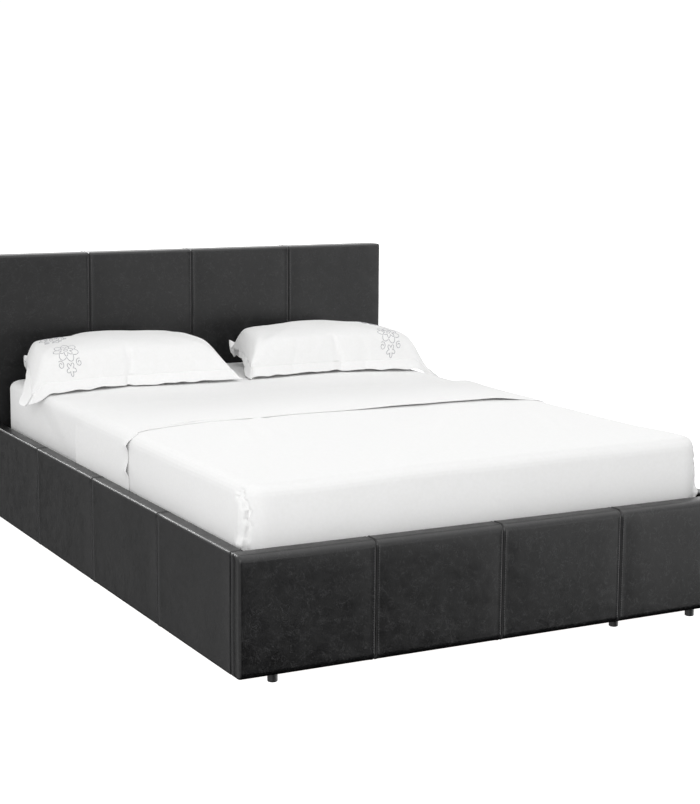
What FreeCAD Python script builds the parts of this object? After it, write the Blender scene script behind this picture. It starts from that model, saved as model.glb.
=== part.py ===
import FreeCAD, Part
import math
import os

# Double bed with a padded headboard, low padded sides and a base that lifts at the foot
# end over a storage well. Millimetres. X runs across the bed, Y from foot to head, Z up.
# The origin is on the floor, under the centre of the bed's bounding box.

# The mattress that the frame is built round
mattress_width = 1350.0
mattress_length = 1900.0
mattress_thickness = 215.0
mattress_corner_radius = 58.0
mattress_edge_radius = 24.0
side_gap = 12.0
foot_gap = 20.5
head_gap = 20.5

# Padded panels: a timber core in a cover of foam and coated cloth
rail_thickness = 38.0
footboard_thickness = 56.0
headboard_thickness = 70.0
headboard_overhang = 15.0
headboard_above_floor = 874.0
panel_padding = 10.0
rail_padding = 6.0
rail_inner_skin = 2.0
lining_thickness = 3.0
panel_edge_radius = 12.0
rail_edge_radius = 8.0

# Heights, from the floor up
glide_height = 22.0
beam_thickness = 18.0
floor_thickness = 4.0
storage_depth = 151.0
tube_height = 40.0
slat_seat = 6.0
slat_thickness = 12.0
mattress_sink = 70.0

# Glides under the panels and the floor beams
glide_radius = 12.5
glide_edge_radius = 3.0
glide_end_inset = 101.0
glide_face_inset = 33.0
odd_glide_x = 380.0
odd_glide_face_inset = 44.0

# Steel lift frame
tube_width = 30.0
tube_wall = 1.5
frame_side_inset = 2.5

# Sprung slats and their plastic seats
slat_count = 14
slat_width = 68.0
slat_end_inset = 10.0
slat_end_margin = 22.0
seat_length = 34.0
seat_lip = 4.0
seat_fit = 0.3
centre_pad_length = 30.0

# Storage floor and ledges
beam_width = 60.0
beam_end_gap = 0.5
floor_joint_gap = 2.0
floor_edge_gap = 3.0
ledge_size = 35.0
ledge_clearance = 0.5
side_ledge_reach = 37.0
ledge_end_gap = 3.0
ledge_bracket_gap = 26.0

# Corner brackets and their bolts
bracket_leg = 58.0
bracket_below_ledge = 9.5
bracket_above_floor_panel = 16.0
bracket_plate = 3.0
bolt_radius = 4.0
bolt_head_radius = 8.0
bolt_head_height = 3.0
bolt_length = 30.0
bolt_hole_fit = 0.05
bolt_edge_distance = 18.0

# Lift linkage, in the plane of the side rail. Distances run from the headboard's face,
# from the storage floor (low pivots) or from the underside of the lift frame (high ones).
arm_foot_from_head = 753.5
arm_foot_above_floor = 36.0
arm_top_from_head = 423.5
arm_top_below_frame = 16.0
link_foot_from_head = 961.5
link_foot_above_floor = 33.0
link_top_from_head = 534.5
link_top_below_frame = 42.0
strut_foot_from_head = 123.5
strut_foot_above_floor = 31.0
strut_on_arm = 123.0
strut_off_arm = 18.0

# Plates, pins and the lanes that they run in, measured in from the side rail's face
pin_radius = 5.0
pin_head_radius = 9.0
pin_head_height = 2.0
running_fit = 0.05
base_plate = 3.0
link_lane = 5.5
link_plate = 4.0
link_half_width = 12.0
lift_plate = 4.0
arm_lane = 15.5
arm_plate = 5.0
arm_half_width = 12.5
lane_gap = 1.0
base_plate_margin = 38.0
base_plate_below_pivot = 24.0
base_plate_height = 60.0
lift_plate_margin = 32.0
lift_plate_rim = 14.0

# Gas strut
strut_lane = 41.0
cylinder_radius = 10.0
cylinder_length = 330.0
cylinder_bore_radius = 8.0
rod_radius = 4.0
rod_in_cylinder = 130.0
piston_radius = 7.9
piston_length = 16.0
strut_eye_radius = 10.0
strut_eye_width = 21.0
strut_base_height = 52.0
strut_base_length = 70.0
open_pivot_gap = 1.0

# Mattress stop and pull strap
stop_width = 190.0
stop_height = 105.0
stop_rod_radius = 4.0
stop_bend_radius = 24.0
strap_width = 30.0
strap_thickness = 1.6
strap_rise = 78.0
strap_standoff = 4.0

# Bedding, as plain closed solids
cover_thickness = 4.5
turnback_thickness = 4.5
turnback_length = 415.0
cover_to_pillow = 276.0
pillow_length = 710.0
pillow_depth = 440.0
pillow_height = 150.0
pillow_radius = 64.0
pillow_gap = 12.0
pillow_from_headboard = 38.0
pillow_rest_gap = 0.5

# Derived places
inside_width = mattress_width + 2.0 * side_gap
frame_width = inside_width + 2.0 * rail_thickness
headboard_width = frame_width + 2.0 * headboard_overhang
inside_length = mattress_length + foot_gap + head_gap
bed_length = inside_length + footboard_thickness + headboard_thickness

foot_front_y = -bed_length / 2.0
foot_inner_y = foot_front_y + footboard_thickness
head_face_y = foot_inner_y + inside_length
head_back_y = head_face_y + headboard_thickness
rail_face_x = inside_width / 2.0
rail_outer_x = frame_width / 2.0

floor_beam_z = glide_height
floor_panel_z = floor_beam_z + beam_thickness
well_bottom_z = floor_panel_z + floor_thickness
frame_z = well_bottom_z + storage_depth
frame_top_z = frame_z + tube_height
slat_z = frame_top_z + slat_seat
slat_top_z = slat_z + slat_thickness
side_top_z = slat_top_z + mattress_sink
mattress_top_z = slat_top_z + mattress_thickness

mattress_foot_y = foot_inner_y + foot_gap
mattress_head_y = head_face_y - head_gap
frame_side_x = mattress_width / 2.0 - frame_side_inset
frame_inner_x = frame_side_x - tube_width

arm_foot = (head_face_y - arm_foot_from_head, well_bottom_z + arm_foot_above_floor)
arm_top = (head_face_y - arm_top_from_head, frame_z - arm_top_below_frame)
link_foot = (head_face_y - link_foot_from_head, well_bottom_z + link_foot_above_floor)
link_top = (head_face_y - link_top_from_head, frame_z - link_top_below_frame)
strut_foot = (head_face_y - strut_foot_from_head, well_bottom_z + strut_foot_above_floor)


def unit(start, end):
    """Unit vector from start to end in the YZ plane."""
    length = math.dist(start, end)
    return ((end[0] - start[0]) / length, (end[1] - start[1]) / length)


def along(start, end, distance, offset=0.0):
    """The point a distance from start towards end, moved sideways by offset."""
    dy, dz = unit(start, end)
    return (start[0] + dy * distance - dz * offset, start[1] + dz * distance + dy * offset)


strut_top = along(arm_foot, arm_top, strut_on_arm, strut_off_arm)


def box(x0, x1, y0, y1, z0, z1):
    """Block between two corners."""
    corner = FreeCAD.Vector(x0, y0, z0)
    return Part.makeBox(x1 - x0, y1 - y0, z1 - z0, corner)


def rod_x(x0, x1, point, radius):
    """Round bar along X through a point of the YZ plane."""
    base = FreeCAD.Vector(min(x0, x1), point[0], point[1])
    return Part.makeCylinder(radius, abs(x1 - x0), base, FreeCAD.Vector(1, 0, 0))


def rod_z(x, y, z0, z1, radius):
    """Upright round bar."""
    return Part.makeCylinder(radius, z1 - z0, FreeCAD.Vector(x, y, z0))


def rod_along(x, start, end, radius):
    """Round bar in the plane at x, from start to end."""
    dy, dz = unit(start, end)
    base = FreeCAD.Vector(x, start[0], start[1])
    return Part.makeCylinder(radius, math.dist(start, end), base, FreeCAD.Vector(0, dy, dz))


def flat_bar(x0, thickness, start, end, half_width):
    """Flat bar with round ends in the YZ plane, between two pivots."""
    corners = [
        along(start, end, 0.0, half_width),
        along(end, start, 0.0, -half_width),
        along(end, start, 0.0, half_width),
        along(start, end, 0.0, -half_width),
    ]
    tips = [along(end, start, -half_width), along(start, end, -half_width)]
    a, b, c, d = [FreeCAD.Vector(x0, y, z) for y, z in corners]
    far_tip, near_tip = [FreeCAD.Vector(x0, y, z) for y, z in tips]
    edges = [
        Part.LineSegment(a, b).toShape(),
        Part.Arc(b, far_tip, c).toShape(),
        Part.LineSegment(c, d).toShape(),
        Part.Arc(d, near_tip, a).toShape(),
    ]
    face = Part.Face(Part.Wire(edges))
    return face.extrude(FreeCAD.Vector(thickness, 0, 0))


def rounded(shape, radius, chosen):
    """Shape with the edges that a test picks rounded to a radius."""
    edges = [edge for edge in shape.Edges if chosen(edge.BoundBox)]
    return shape.makeFillet(radius, edges)


def other_side(shape):
    """The same piece on the other side of the bed."""
    return shape.mirror(FreeCAD.Vector(0, 0, 0), FreeCAD.Vector(1, 0, 0))


def group(shapes):
    """Several loose copies of one piece, kept as separate solids."""
    return Part.makeCompound(shapes)


def save(name, shape):
    """One sub-part, in its own file."""
    shape.exportStep(f"parts/{name}.step")


def save_pair(name, shape):
    """A right-hand piece and its mirrored left-hand twin."""
    save(f"right_{name}", shape)
    save(f"left_{name}", other_side(shape))


# Corner bolts: one list of shanks, used for the bolts and for every hole they pass through

bracket_z = well_bottom_z + bracket_above_floor_panel
bracket_height = frame_z - ledge_clearance - ledge_size - bracket_below_ledge - bracket_z
bolt_heights = [bracket_z + bolt_edge_distance, bracket_z + bracket_height - bolt_edge_distance]
corner_ends = [(foot_inner_y, 1.0), (head_face_y, -1.0)]


def corner_bolt_axes():
    """(head seat, direction) of each bolt on the right-hand side of the bed."""
    reach = bracket_leg - bolt_edge_distance
    axes = []
    for end_y, inward in corner_ends:
        for z in bolt_heights:
            into_rail = FreeCAD.Vector(rail_face_x - bracket_plate, end_y + inward * reach, z)
            into_board = FreeCAD.Vector(rail_face_x - reach, end_y + inward * bracket_plate, z)
            axes.append((into_rail, FreeCAD.Vector(1, 0, 0)))
            axes.append((into_board, FreeCAD.Vector(0, -inward, 0)))
    return axes


def bolt_shanks(radius):
    """Every corner bolt's shank on both sides, at a given radius."""
    right = []
    for seat, direction in corner_bolt_axes():
        right.append(Part.makeCylinder(radius, bolt_length, seat, direction))
    return right + [other_side(shank) for shank in right]


def corner_bolts():
    """Pan-headed bolts that hold the corner brackets."""
    right = []
    for seat, direction in corner_bolt_axes():
        shank = Part.makeCylinder(bolt_radius, bolt_length, seat, direction)
        head = Part.makeCylinder(bolt_head_radius, bolt_head_height, seat, direction * -1.0)
        right.append(shank.fuse(head).removeSplitter())
    return group(right + [other_side(bolt) for bolt in right])


def corner_brackets():
    """Steel angles that tie the rails to the headboard and the footboard."""
    right = []
    for end_y, inward in corner_ends:
        far = end_y + inward * bracket_leg
        near = end_y + inward * bracket_plate
        top = bracket_z + bracket_height
        rail_leg = box(
            rail_face_x - bracket_plate, rail_face_x, min(end_y, far), max(end_y, far), bracket_z, top
        )
        board_leg = box(
            rail_face_x - bracket_leg, rail_face_x, min(end_y, near), max(end_y, near), bracket_z, top
        )
        angle = rail_leg.fuse(board_leg).removeSplitter()
        right.append(angle.cut(bolt_shanks(bolt_radius + bolt_hole_fit)))
    return group(right + [other_side(angle) for angle in right])


# Padded headboard, footboard and rails


def board_pieces(half_width, face_y, lining_y, top_z):
    """Core, cover and lining of an upright board. Its padding faces face_y."""
    outward = 1.0 if face_y > lining_y else -1.0
    low_y, high_y = min(face_y, lining_y), max(face_y, lining_y)
    whole = box(-half_width, half_width, low_y, high_y, glide_height, top_z)
    cover = rounded(
        whole,
        panel_edge_radius,
        lambda b: abs((b.YMin if outward < 0 else b.YMax) - face_y) < 0.01 and b.YLength < 0.01,
    )
    core_face = face_y - outward * panel_padding
    core_back = lining_y + outward * lining_thickness
    side = half_width - panel_padding
    bottom = glide_height + panel_padding
    top = top_z - panel_padding
    core = box(-side, side, min(core_face, core_back), max(core_face, core_back), bottom, top)
    lining = box(-side, side, min(core_back, lining_y), max(core_back, lining_y), bottom, top)
    holes = bolt_shanks(bolt_radius + bolt_hole_fit)
    return core.cut(holes), cover.cut([core, lining]), lining.cut(holes)


def headboard():
    """The headboard's padding faces the sleeper, and its lining is on the back."""
    half_width = headboard_width / 2.0
    core, cover, lining = board_pieces(half_width, head_face_y, head_back_y, headboard_above_floor)
    holes = bolt_shanks(bolt_radius + bolt_hole_fit)
    return core, cover.cut(holes), lining


def footboard():
    """The footboard's padding faces the room, and its lining is on the inside."""
    return board_pieces(frame_width / 2.0, foot_front_y, foot_inner_y, side_top_z)


def rail():
    """Core and wrapped cover of the right-hand side rail."""
    whole = box(rail_face_x, rail_outer_x, foot_inner_y, head_face_y, glide_height, side_top_z)
    cover = rounded(
        whole,
        rail_edge_radius,
        lambda b: b.XMin > rail_outer_x - 0.01 and b.YLength > 1.0,
    )
    core = box(
        rail_face_x + rail_inner_skin,
        rail_outer_x - rail_padding,
        foot_inner_y,
        head_face_y,
        glide_height + rail_padding,
        side_top_z - rail_padding,
    )
    holes = bolt_shanks(bolt_radius + bolt_hole_fit)
    return core.cut(holes), cover.cut([core] + holes)


def glides():
    """Round plastic feet nailed under the boards and the floor beams."""
    side_x = frame_width / 2.0 - glide_end_inset
    foot_y = foot_front_y + glide_face_inset
    head_y = head_back_y - glide_face_inset
    spots = [(-side_x, foot_y), (side_x, foot_y)]
    spots += [(odd_glide_x, foot_front_y + odd_glide_face_inset)]
    spots += [(-side_x, head_y), (0.0, head_y), (side_x, head_y)]
    spots += [(0.0, y) for y in beam_centres()]
    feet = []
    for x, y in spots:
        foot = rod_z(x, y, 0.0, glide_height, glide_radius)
        feet.append(rounded(foot, glide_edge_radius, lambda b: b.ZMax < 0.01))
    return group(feet)


# Storage well


def beam_centres():
    """Y of the three floor beams."""
    pitch = inside_length / 4.0
    return [foot_inner_y + pitch * step for step in (1, 2, 3)]


def floor_beam(centre_y):
    """Timber bearer across the bed, under the storage floor."""
    side = rail_face_x - beam_end_gap
    half = beam_width / 2.0
    return box(-side, side, centre_y - half, centre_y + half, floor_beam_z, floor_panel_z)


def floor_panel(low_y, high_y):
    """Hardboard sheet that lies on the bearers."""
    side = rail_face_x - floor_edge_gap
    return box(-side, side, low_y, high_y, floor_panel_z, well_bottom_z)


def side_ledge():
    """Batten on the rail that the lift frame comes down on."""
    top = frame_z - ledge_clearance
    start = foot_inner_y + ledge_size + ledge_end_gap
    end = link_foot[0] - base_plate_margin - ledge_bracket_gap
    return box(rail_face_x - side_ledge_reach, rail_face_x, start, end, top - ledge_size, top)


def foot_ledge():
    """Batten on the footboard that the lift frame comes down on."""
    top = frame_z - ledge_clearance
    return box(-frame_inner_x, frame_inner_x, foot_inner_y, foot_inner_y + ledge_size, top - ledge_size, top)


# Lift linkage, right-hand side. Lanes run inwards from the rail's face.

base_in_x = rail_face_x - base_plate
link_x = rail_face_x - link_lane - link_plate
lift_x = frame_side_x
arm_x = rail_face_x - arm_lane - arm_plate
strut_x = rail_face_x - strut_lane
pin_end_x = arm_x - lane_gap


def hinge_bracket():
    """Steel plate on the rail that carries the arm's and the link's lower pivots."""
    low = min(arm_foot[1], link_foot[1]) - base_plate_below_pivot
    plate = box(
        base_in_x,
        rail_face_x,
        link_foot[0] - base_plate_margin,
        arm_foot[0] + base_plate_margin,
        low,
        low + base_plate_height,
    )
    plate = rounded(plate, pin_head_radius, lambda b: b.XLength > base_plate - 0.01)
    return plate.cut([rod_x(base_in_x, rail_face_x, p, pin_radius) for p in (arm_foot, link_foot)])


def hinge_pins():
    """Headed pins of the two lower pivots."""
    pins = []
    for point, end_x in ((arm_foot, pin_end_x), (link_foot, link_x - lane_gap)):
        shank = rod_x(end_x, rail_face_x, point, pin_radius)
        head = rod_x(end_x - pin_head_height, end_x, point, pin_head_radius)
        pins.append(shank.fuse(head).removeSplitter())
    return group(pins)


def lift_arm():
    """Flat steel arm that carries the lift frame, with its two pivot holes."""
    bar = flat_bar(arm_x, arm_plate, arm_foot, arm_top, arm_half_width)
    lug = flat_bar(arm_x, arm_plate, along(arm_foot, arm_top, strut_on_arm), strut_top, arm_half_width)
    holes = [rod_x(arm_x, arm_x + arm_plate, p, pin_radius + running_fit) for p in (arm_foot, arm_top)]
    holes.append(rod_x(arm_x, arm_x + arm_plate, strut_top, pin_radius))
    return bar.fuse(lug).removeSplitter().cut(holes)


def arm_stud():
    """Short stud on the arm that the strut pushes."""
    end_x = strut_x + strut_eye_width / 2.0 + open_pivot_gap
    return rod_x(end_x, arm_x + arm_plate, strut_top, pin_radius)


def guide_link():
    """Second steel link, which keeps the lift frame's tilt in step with the arm."""
    bar = flat_bar(link_x, link_plate, link_foot, link_top, link_half_width)
    return bar.cut(
        [
            rod_x(link_x, link_x + link_plate, link_foot, pin_radius + running_fit),
            rod_x(link_x, link_x + link_plate, link_top, pin_radius),
        ]
    )


def guide_rivet():
    """Rivet at the link's upper pivot."""
    shank = rod_x(link_x, link_x + link_plate, link_top, pin_radius)
    head_x = link_x + link_plate
    head = rod_x(head_x, head_x + lane_gap, link_top, pin_head_radius)
    return shank.fuse(head).removeSplitter()


def lift_bracket():
    """Steel plate welded to the lift frame's side tube, down to the upper pivots."""
    top = frame_top_z
    outline = [
        (link_top[0] - lift_plate_margin, top),
        (arm_top[0] + lift_plate_margin, top),
        (arm_top[0] + lift_plate_rim, arm_top[1] - lift_plate_rim),
        (link_top[0] - lift_plate_rim, link_top[1] - lift_plate_rim),
    ]
    points = [FreeCAD.Vector(lift_x, y, z) for y, z in outline + outline[:1]]
    plate = Part.Face(Part.makePolygon(points)).extrude(FreeCAD.Vector(lift_plate, 0, 0))
    return plate.cut(rod_x(lift_x, lift_x + lift_plate, arm_top, pin_radius))


def lift_pin():
    """Headed pin of the arm's upper pivot."""
    shank = rod_x(pin_end_x, lift_x + lift_plate, arm_top, pin_radius)
    head = rod_x(pin_end_x - pin_head_height, pin_end_x, arm_top, pin_head_radius)
    return shank.fuse(head).removeSplitter()


def strut_bracket():
    """Plate and stud on the rail that the gas strut's lower eye turns on."""
    y, z = strut_foot
    half = strut_base_length / 2.0
    low = z - strut_base_height / 2.0
    plate = box(base_in_x, rail_face_x, y - half, y + half, low, low + strut_base_height)
    stud = rod_x(strut_x - strut_eye_width / 2.0 - lane_gap, base_in_x, strut_foot, pin_radius)
    head_x = strut_x - strut_eye_width / 2.0 - lane_gap
    head = rod_x(head_x - pin_head_height, head_x, strut_foot, pin_head_radius)
    return plate.fuse([stud, head]).removeSplitter()


def strut_eye(point):
    """Round eye at one end of the strut."""
    half = strut_eye_width / 2.0
    return rod_x(strut_x - half, strut_x + half, point, strut_eye_radius)


def strut_cylinder():
    """Gas strut body: eye, tube and the bore that the piston slides in."""
    tube_start = along(strut_foot, strut_top, strut_eye_radius / 2.0)
    tube_end = along(strut_foot, strut_top, cylinder_length)
    bore_start = along(strut_foot, strut_top, strut_eye_radius * 2.0)
    gland_start = along(strut_foot, strut_top, cylinder_length - piston_length)
    body = rod_along(strut_x, tube_start, tube_end, cylinder_radius).fuse(strut_eye(strut_foot))
    half = strut_eye_width / 2.0
    return body.removeSplitter().cut(
        [
            rod_x(strut_x - half - lane_gap, strut_x + half + lane_gap, strut_foot, pin_radius + running_fit),
            rod_along(strut_x, bore_start, gland_start, cylinder_bore_radius),
            rod_along(strut_x, gland_start, along(strut_foot, strut_top, cylinder_length), rod_radius + running_fit),
        ]
    )


def strut_rod():
    """Polished rod with its piston and its upper eye."""
    start = along(strut_foot, strut_top, cylinder_length - rod_in_cylinder)
    piston_end = along(strut_foot, strut_top, cylinder_length - rod_in_cylinder + piston_length)
    end = along(strut_top, strut_foot, strut_eye_radius / 2.0)
    rod = rod_along(strut_x, start, end, rod_radius)
    piston = rod_along(strut_x, start, piston_end, piston_radius)
    return rod.fuse([piston, strut_eye(strut_top)]).removeSplitter()


# Lift frame, slats, stop and strap


def tube(x0, x1, y0, y1, hollow_along):
    """Rectangular steel tube with open ends."""
    solid = box(x0, x1, y0, y1, frame_z, frame_top_z)
    wall_x = 0.0 if hollow_along == "x" else tube_wall
    wall_y = 0.0 if hollow_along == "y" else tube_wall
    hollow = box(x0 + wall_x, x1 - wall_x, y0 + wall_y, y1 - wall_y, frame_z + tube_wall, frame_top_z - tube_wall)
    return solid.cut(hollow)


def slat_centres():
    """Y of each slat."""
    first = mattress_foot_y + slat_end_margin + slat_width / 2.0
    last = mattress_head_y - slat_end_margin - slat_width / 2.0
    pitch = (last - first) / (slat_count - 1)
    return [first + pitch * step for step in range(slat_count)]


def slats():
    """Laminated beech slats across the lift frame."""
    end_x = frame_side_x - slat_end_inset
    half = slat_width / 2.0
    return group([box(-end_x, end_x, y - half, y + half, slat_z, slat_top_z) for y in slat_centres()])


def slat_seats():
    """Plastic seats on the right-hand side tube, each with a lip round its slat's end."""
    seats = []
    end_x = frame_side_x - slat_end_inset
    half = slat_width / 2.0 + seat_fit
    for y in slat_centres():
        outer = box(
            frame_side_x - seat_length,
            end_x + seat_fit + seat_lip,
            y - half - seat_lip,
            y + half + seat_lip,
            frame_top_z,
            slat_top_z,
        )
        pocket = box(
            frame_side_x - seat_length, end_x + seat_fit, y - half, y + half, slat_z, slat_top_z
        )
        seats.append(outer.cut(pocket))
    return group(seats)


def centre_pads():
    """Plastic pads between the centre tube and the slats."""
    half_x = tube_width / 2.0
    half_y = centre_pad_length / 2.0
    return group([box(-half_x, half_x, y - half_y, y + half_y, frame_top_z, slat_z) for y in slat_centres()])


def mattress_stop():
    """Bent steel hoop at the head end that keeps the mattress from sliding off."""
    y = mattress_head_y + stop_rod_radius
    half = stop_width / 2.0
    top = frame_z + stop_height + tube_height
    bend = stop_bend_radius
    slant = bend * (1.0 - math.sqrt(0.5))
    low_left = FreeCAD.Vector(-half, y, frame_z)
    high_left = FreeCAD.Vector(-half, y, top - bend)
    left_mid = FreeCAD.Vector(-half + slant, y, top - slant)
    top_left = FreeCAD.Vector(-half + bend, y, top)
    top_right = FreeCAD.Vector(half - bend, y, top)
    right_mid = FreeCAD.Vector(half - slant, y, top - slant)
    high_right = FreeCAD.Vector(half, y, top - bend)
    low_right = FreeCAD.Vector(half, y, frame_z)
    path = Part.Wire(
        [
            Part.LineSegment(low_left, high_left).toShape(),
            Part.Arc(high_left, left_mid, top_left).toShape(),
            Part.LineSegment(top_left, top_right).toShape(),
            Part.Arc(top_right, right_mid, high_right).toShape(),
            Part.LineSegment(high_right, low_right).toShape(),
        ]
    )
    circle = Part.Wire(Part.makeCircle(stop_rod_radius, low_left, FreeCAD.Vector(0, 0, 1)))
    return path.makePipeShell([circle], True, False)


def pull_strap():
    """Webbing loop on the foot tube, tucked up between the bedding and the footboard."""
    half = strap_width / 2.0
    back = mattress_foot_y
    front = back - strap_standoff - cover_thickness - strap_thickness
    inner_front = front + strap_thickness
    seat = frame_z + tube_wall
    upright = box(-half, half, front, inner_front, seat, frame_top_z + strap_rise)
    foot = box(-half, half, inner_front, back, seat, seat + strap_thickness)
    return upright.fuse(foot).removeSplitter()


# Bedding


def padded_block(half_x, y0, y1, z0, z1, upright_radius, top_radius):
    """Block with rounded upright corners and a rounded top edge."""
    block = box(-half_x, half_x, y0, y1, z0, z1)
    block = rounded(block, upright_radius, lambda b: b.ZLength > (z1 - z0) - 0.01)
    return rounded(block, top_radius, lambda b: b.ZMin > z1 - 0.01)


def mattress_body(grown=0.0):
    """The mattress, or the same shape grown by the bedding round it."""
    return padded_block(
        mattress_width / 2.0 + grown,
        mattress_foot_y - grown,
        mattress_head_y + grown,
        slat_top_z,
        mattress_top_z + grown,
        mattress_corner_radius + grown,
        mattress_edge_radius + grown,
    )


def layer(inner, outer, from_y, to_y):
    """One layer of bedding between two grown mattress shapes and two places along the bed."""
    side = frame_width
    window = box(-side, side, from_y, to_y, slat_top_z, headboard_above_floor)
    return mattress_body(outer).cut(mattress_body(inner)).common(window)


def pillow(side):
    """Plain pillow solid. side is -1 for the left one and 1 for the right one."""
    low_z = mattress_top_z + pillow_rest_gap
    near, far = pillow_gap / 2.0, pillow_gap / 2.0 + pillow_length
    high_y = head_face_y - pillow_from_headboard
    x0, x1 = min(side * near, side * far), max(side * near, side * far)
    block = box(x0, x1, high_y - pillow_depth, high_y, low_z, low_z + pillow_height)
    return rounded(block, pillow_radius, lambda b: True)


os.makedirs("parts", exist_ok=True)

head_core, head_cover, head_lining = headboard()
save("headboard_core", head_core)
save("headboard_cover", head_cover)
save("headboard_lining", head_lining)
foot_core, foot_cover, foot_lining = footboard()
save("footboard_core", foot_core)
save("footboard_cover", foot_cover)
save("footboard_lining", foot_lining)
rail_core, rail_cover = rail()
save_pair("rail_core", rail_core)
save_pair("rail_cover", rail_cover)
save("corner_brackets", corner_brackets())
save("corner_bolts", corner_bolts())
save("glides", glides())

for beam_name, beam_y in zip(("foot", "middle", "head"), beam_centres()):
    save(f"floor_beam_{beam_name}", floor_beam(beam_y))
floor_split_y = beam_centres()[1]
save(
    "floor_panel_foot",
    floor_panel(foot_inner_y + floor_edge_gap, floor_split_y - floor_joint_gap / 2.0),
)
save(
    "floor_panel_head",
    floor_panel(floor_split_y + floor_joint_gap / 2.0, head_face_y - floor_edge_gap),
)
save_pair("support_ledge", side_ledge())
save("foot_support_ledge", foot_ledge())

save_pair("hinge_bracket", hinge_bracket())
save_pair("hinge_pins", hinge_pins())
save_pair("strut_bracket", strut_bracket())
save_pair("lift_arm", lift_arm())
save_pair("arm_stud", arm_stud())
save_pair("guide_link", guide_link())
save_pair("guide_rivet", guide_rivet())
save_pair("strut_cylinder", strut_cylinder())
save_pair("strut_rod", strut_rod())

end_tube = mattress_foot_y + tube_width
head_tube_y = mattress_head_y - tube_width
save_pair("side_tube", tube(frame_inner_x, frame_side_x, mattress_foot_y, mattress_head_y, "y"))
save("foot_tube", tube(-frame_inner_x, frame_inner_x, mattress_foot_y, end_tube, "x"))
save("head_tube", tube(-frame_inner_x, frame_inner_x, head_tube_y, mattress_head_y, "x"))
save("centre_tube", tube(-tube_width / 2.0, tube_width / 2.0, end_tube, head_tube_y, "y"))
save_pair("lift_bracket", lift_bracket())
save_pair("lift_pin", lift_pin())
save("slats", slats())
save_pair("slat_seats", slat_seats())
save("centre_slat_pads", centre_pads())
save("mattress_stop", mattress_stop())
save("pull_strap", pull_strap())

cover_end_y = head_face_y - pillow_from_headboard - pillow_depth - cover_to_pillow
turnback_y = cover_end_y - turnback_length
save("mattress", mattress_body())
save("bed_cover", layer(0.0, cover_thickness, foot_front_y, cover_end_y))
save(
    "cover_turnback",
    layer(cover_thickness, cover_thickness + turnback_thickness, turnback_y, cover_end_y),
)
save("left_pillow", pillow(-1.0))
save("right_pillow", pillow(1.0))

for name, point in (
    ("arm foot", arm_foot),
    ("arm top", arm_top),
    ("link foot", link_foot),
    ("link top", link_top),
    ("strut foot", strut_foot),
    ("strut top", strut_top),
):
    print(f"{name}: y {point[0]:.2f} z {point[1]:.2f}")
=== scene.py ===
"""End-lift storage bed with padded leather panels, made up with a mattress, linen and two pillows."""

import math

import bmesh
import bpy
from mathutils import Matrix, Vector, noise
from mathutils.bvhtree import BVHTree


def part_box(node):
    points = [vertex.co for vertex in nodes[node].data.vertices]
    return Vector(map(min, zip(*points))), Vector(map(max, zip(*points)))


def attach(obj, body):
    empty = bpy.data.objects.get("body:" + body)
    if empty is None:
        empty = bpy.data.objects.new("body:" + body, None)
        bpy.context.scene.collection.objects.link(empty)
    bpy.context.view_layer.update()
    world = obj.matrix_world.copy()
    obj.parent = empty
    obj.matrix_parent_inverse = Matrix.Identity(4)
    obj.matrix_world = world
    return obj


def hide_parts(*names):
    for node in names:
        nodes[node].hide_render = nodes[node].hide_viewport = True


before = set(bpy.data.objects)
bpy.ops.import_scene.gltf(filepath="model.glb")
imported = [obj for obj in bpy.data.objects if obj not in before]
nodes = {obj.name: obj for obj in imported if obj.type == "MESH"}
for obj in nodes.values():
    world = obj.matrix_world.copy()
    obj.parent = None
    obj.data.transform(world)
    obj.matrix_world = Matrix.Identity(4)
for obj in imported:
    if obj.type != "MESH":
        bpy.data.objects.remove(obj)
scene = bpy.context.scene
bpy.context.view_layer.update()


# Camera
# A long lens a little above a standing person's shoulder, off the left foot corner of the bed.

camera_place = Vector((-2.3447, -4.6335, 1.3252))
camera_yaw = math.radians(27.9161)
camera_pitch = math.radians(9.2055)
camera_roll = math.radians(0.3521)

camera_data = bpy.data.cameras.new("camera")
camera_data.lens = 78.554
camera_data.sensor_width = 36.0
camera_data.clip_end = 200.0
camera = bpy.data.objects.new("camera", camera_data)
scene.collection.objects.link(camera)
camera_turn = (
    Matrix.Rotation(-camera_yaw, 4, "Z")
    @ Matrix.Rotation(math.pi / 2 - camera_pitch, 4, "X")
    @ Matrix.Rotation(camera_roll, 4, "Z")
)
camera.matrix_world = Matrix.Translation(camera_place) @ camera_turn
scene.camera = camera


# Studio floor and light
# A white cove lit from a big overhead softbox, a soft front one and a strip lamp high behind the bed.
# The sky is white all round, but the leather mirrors one that is dark along the middle of the horizon.

floor_size = 40.0
floor_white = "#fbfbfb"
overhead_power = 28.0
front_power = 136.0
strip_power = 110.0
sky_strength = 0.64
smooth = {"interpolation_type": "SMOOTHSTEP"}
colours = {"data_type": "RGBA"}


def linear(colour):
    """An sRGB hex colour as the linear RGBA that a shader socket takes."""
    channels = [int(colour[i : i + 2], 16) / 255 for i in (1, 3, 5)]
    return [c / 12.92 if c <= 0.04045 else ((c + 0.055) / 1.055) ** 2.4 for c in channels] + [1.0]


def wire(tree, node, inputs):
    """Sets a node's inputs, each to a value, a hex colour, a socket or another node's first output."""
    for name, value in inputs.items():
        if isinstance(value, str):
            value = linear(value)
        if isinstance(value, bpy.types.Node):
            value = next(socket for socket in value.outputs if socket.enabled)
        if isinstance(value, bpy.types.NodeSocket):
            tree.links.new(value, node.inputs[name])
        else:
            node.inputs[name].default_value = value


def add(tree, kind, settings, inputs):
    """A new node with its settings and its inputs."""
    node = tree.nodes.new("ShaderNode" + kind)
    for name, value in settings.items():
        setattr(node, name, value)
    wire(tree, node, inputs)
    return node


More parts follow.
